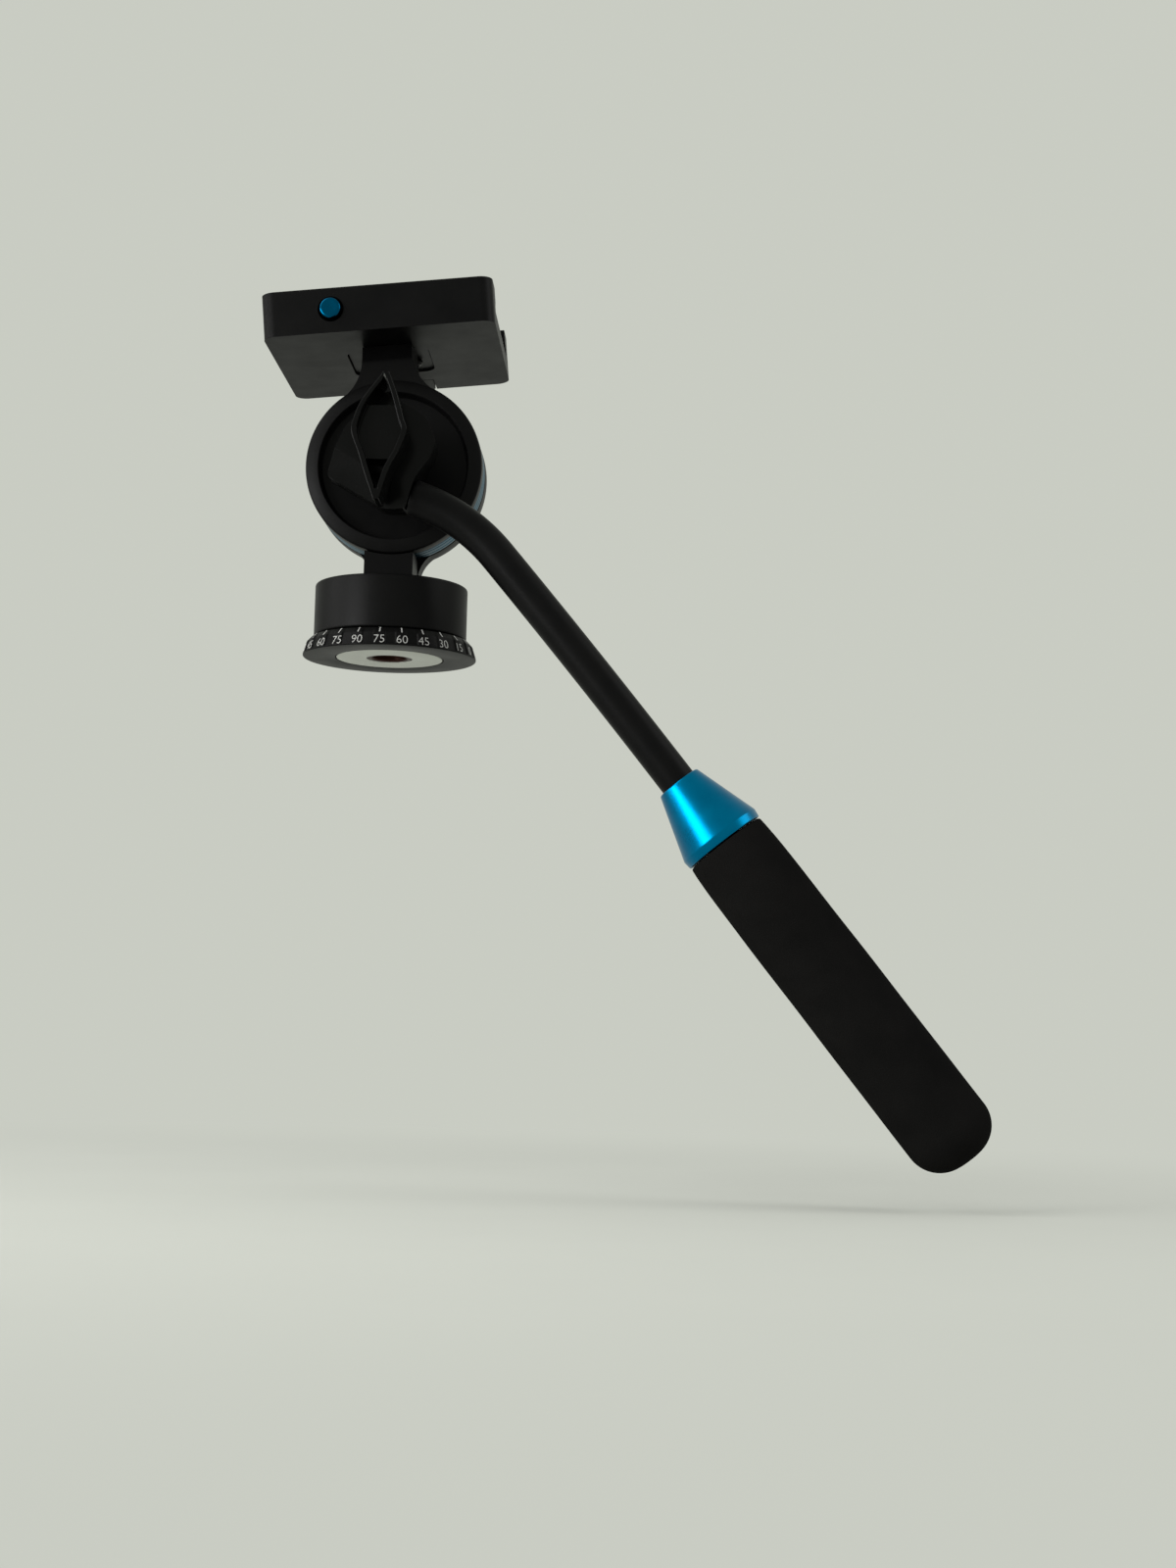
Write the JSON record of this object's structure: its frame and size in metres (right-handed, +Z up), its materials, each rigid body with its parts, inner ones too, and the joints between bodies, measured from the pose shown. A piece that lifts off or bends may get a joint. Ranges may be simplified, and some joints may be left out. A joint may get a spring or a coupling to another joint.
{
  "type": "fluid video head",
  "caption": "Small fluid pan and tilt head with a round base, tilt discs, a quick-release platform and a bent handle with a foam grip.",
  "frame": {"origin": "centre of the base's underside, on the pan axis, where the tripod's screw enters", "axes": "+Z up along the pan axis, -Y towards the side that carries the handle, -X the way the lens looks; +Y is the tilt axis's direction"},
  "size_m": [0.1896, 0.0889, 0.2272],
  "materials": {
    "satin_black": "satin",
    "gloss_black": "gloss",
    "pale_silver": "satin",
    "bright_steel": "satin",
    "bronze": "satin",
    "red_brass": "satin",
    "white_nylon": "matte",
    "blue_anodised": "gloss",
    "level_liquid": "gloss",
    "black_rubber": "matte",
    "black_foam": "matte"
  },
  "bodies": {
    "base": {"base_ring": "satin_black", "seat_plate": "pale_silver", "thread_insert": "red_brass", "pan_spindle": "bright_steel", "spindle_nut": "bright_steel"},
    "pan": {"pan_bush": "bronze", "pan_drag_washer": "white_nylon", "pan_housing": "satin_black", "level_vial": "level_liquid", "lower_yoke": "satin_black", "tilt_axle": "bright_steel", "drag_ring": "blue_anodised", "damping_disc_near": "bright_steel", "friction_washer": "white_nylon", "damping_disc_far": "bright_steel", "thrust_washer": "bright_steel"},
    "brake": {"pan_brake_shoe": "bronze"},
    "pan_lock": {"pan_lock_screw": "bright_steel", "pan_lock_knob": "satin_black"},
    "tilt_lock": {"tilt_lock_knob": "satin_black"},
    "tilt": {"tilt_cheek": "satin_black", "tilt_bush": "bronze", "platform_screw_left": "bright_steel", "platform_screw_right": "bright_steel", "clamp_body": "satin_black", "jaw_guide_pin_left": "bright_steel", "jaw_guide_pin_right": "bright_steel", "button_spring": "bright_steel"},
    "jaw": {"moving_jaw": "satin_black"},
    "clamp_drive": {"clamp_screw": "bright_steel", "clamp_knob": "satin_black"},
    "button": {"safety_button": "blue_anodised"},
    "stop_pin": {"plate_stop_pin": "bright_steel"},
    "plate": {"camera_plate": "satin_black", "plate_pad_left": "black_rubber", "plate_pad_right": "black_rubber"},
    "plate_screw": {"camera_screw": "bright_steel"},
    "handle": {"handle_base": "gloss_black", "handle_rod": "satin_black", "grip_collar": "blue_anodised", "foam_grip": "black_foam"},
    "handle_lock": {"handle_knob": "gloss_black", "handle_bolt": "bright_steel"}
  },
  "joints": [
    {"name": "pan", "type": "hinge", "parent": "base", "child": "pan", "pos_m": [0, 0, 0], "axis": [0, 0, 1], "continuous": true},
    {"name": "pan_lock_turn", "type": "hinge", "parent": "brake", "child": "pan_lock", "pos_m": [0, 0.022, 0.01128], "axis": [0, 1, 0], "range_deg": [-100, 0]},
    {"name": "brake_shoe_press", "type": "slide", "parent": "pan", "child": "brake", "axis": [0, 1, 0], "range_m": [-0.000222, 0]},
    {"name": "tilt", "type": "hinge", "parent": "pan", "child": "tilt", "pos_m": [0.00045, 0, 0.04926], "axis": [0, 1, 0], "range_deg": [-84.67, 80.33]},
    {"name": "tilt_lock_turn", "type": "hinge", "parent": "pan", "child": "tilt_lock", "pos_m": [0.00045, 0, 0.04926], "axis": [0, 1, 0], "range_deg": [-120, 0]},
    {"name": "handle_angle", "type": "hinge", "parent": "tilt", "child": "handle", "pos_m": [0.00045, 0, 0.04926], "axis": [0, 1, 0], "continuous": true},
    {"name": "handle_knob_turn", "type": "hinge", "parent": "handle", "child": "handle_lock", "pos_m": [0.00045, 0, 0.04926], "axis": [0, 1, 0], "range_deg": [-360, 0]},
    {"name": "clamp_knob_turn", "type": "hinge", "parent": "jaw", "child": "clamp_drive", "pos_m": [-0.00287, 0.04, 0.08481], "axis": [0, 1, 0], "range_deg": [0, 900]},
    {"name": "jaw_slide", "type": "slide", "parent": "tilt", "child": "jaw", "axis": [0, 1, 0], "range_m": [0, 0.0025]},
    {"name": "safety_button_press", "type": "slide", "parent": "tilt", "child": "button", "axis": [0, 1, 0], "range_m": [0, 0.0012], "stiffness_N_per_m": 300, "deforming": ["button_spring"]},
    {"name": "stop_pin_drop", "type": "slide", "parent": "tilt", "child": "stop_pin", "axis": [-0.0929, 0, 0.9957], "range_m": [-0.0009, 0]},
    {"name": "plate_slide", "type": "slide", "parent": "tilt", "child": "plate", "axis": [0.9957, 0, 0.0929], "range_m": [-0.005, 0.005]},
    {"name": "camera_screw_turn", "type": "hinge", "parent": "plate", "child": "plate_screw", "pos_m": [-0.00438, 0.008, 0.09401], "axis": [-0.0929, 0, 0.9957], "continuous": true}
  ],
  "couplings": [
    {"joint": "pan_lock_turn", "follows": "brake_shoe_press", "rad_per_m": 7854},
    {"joint": "clamp_knob_turn", "follows": "jaw_slide", "rad_per_m": 6283.2},
    {"joint": "stop_pin_drop", "follows": "safety_button_press", "ratio": -0.75}
  ]
}
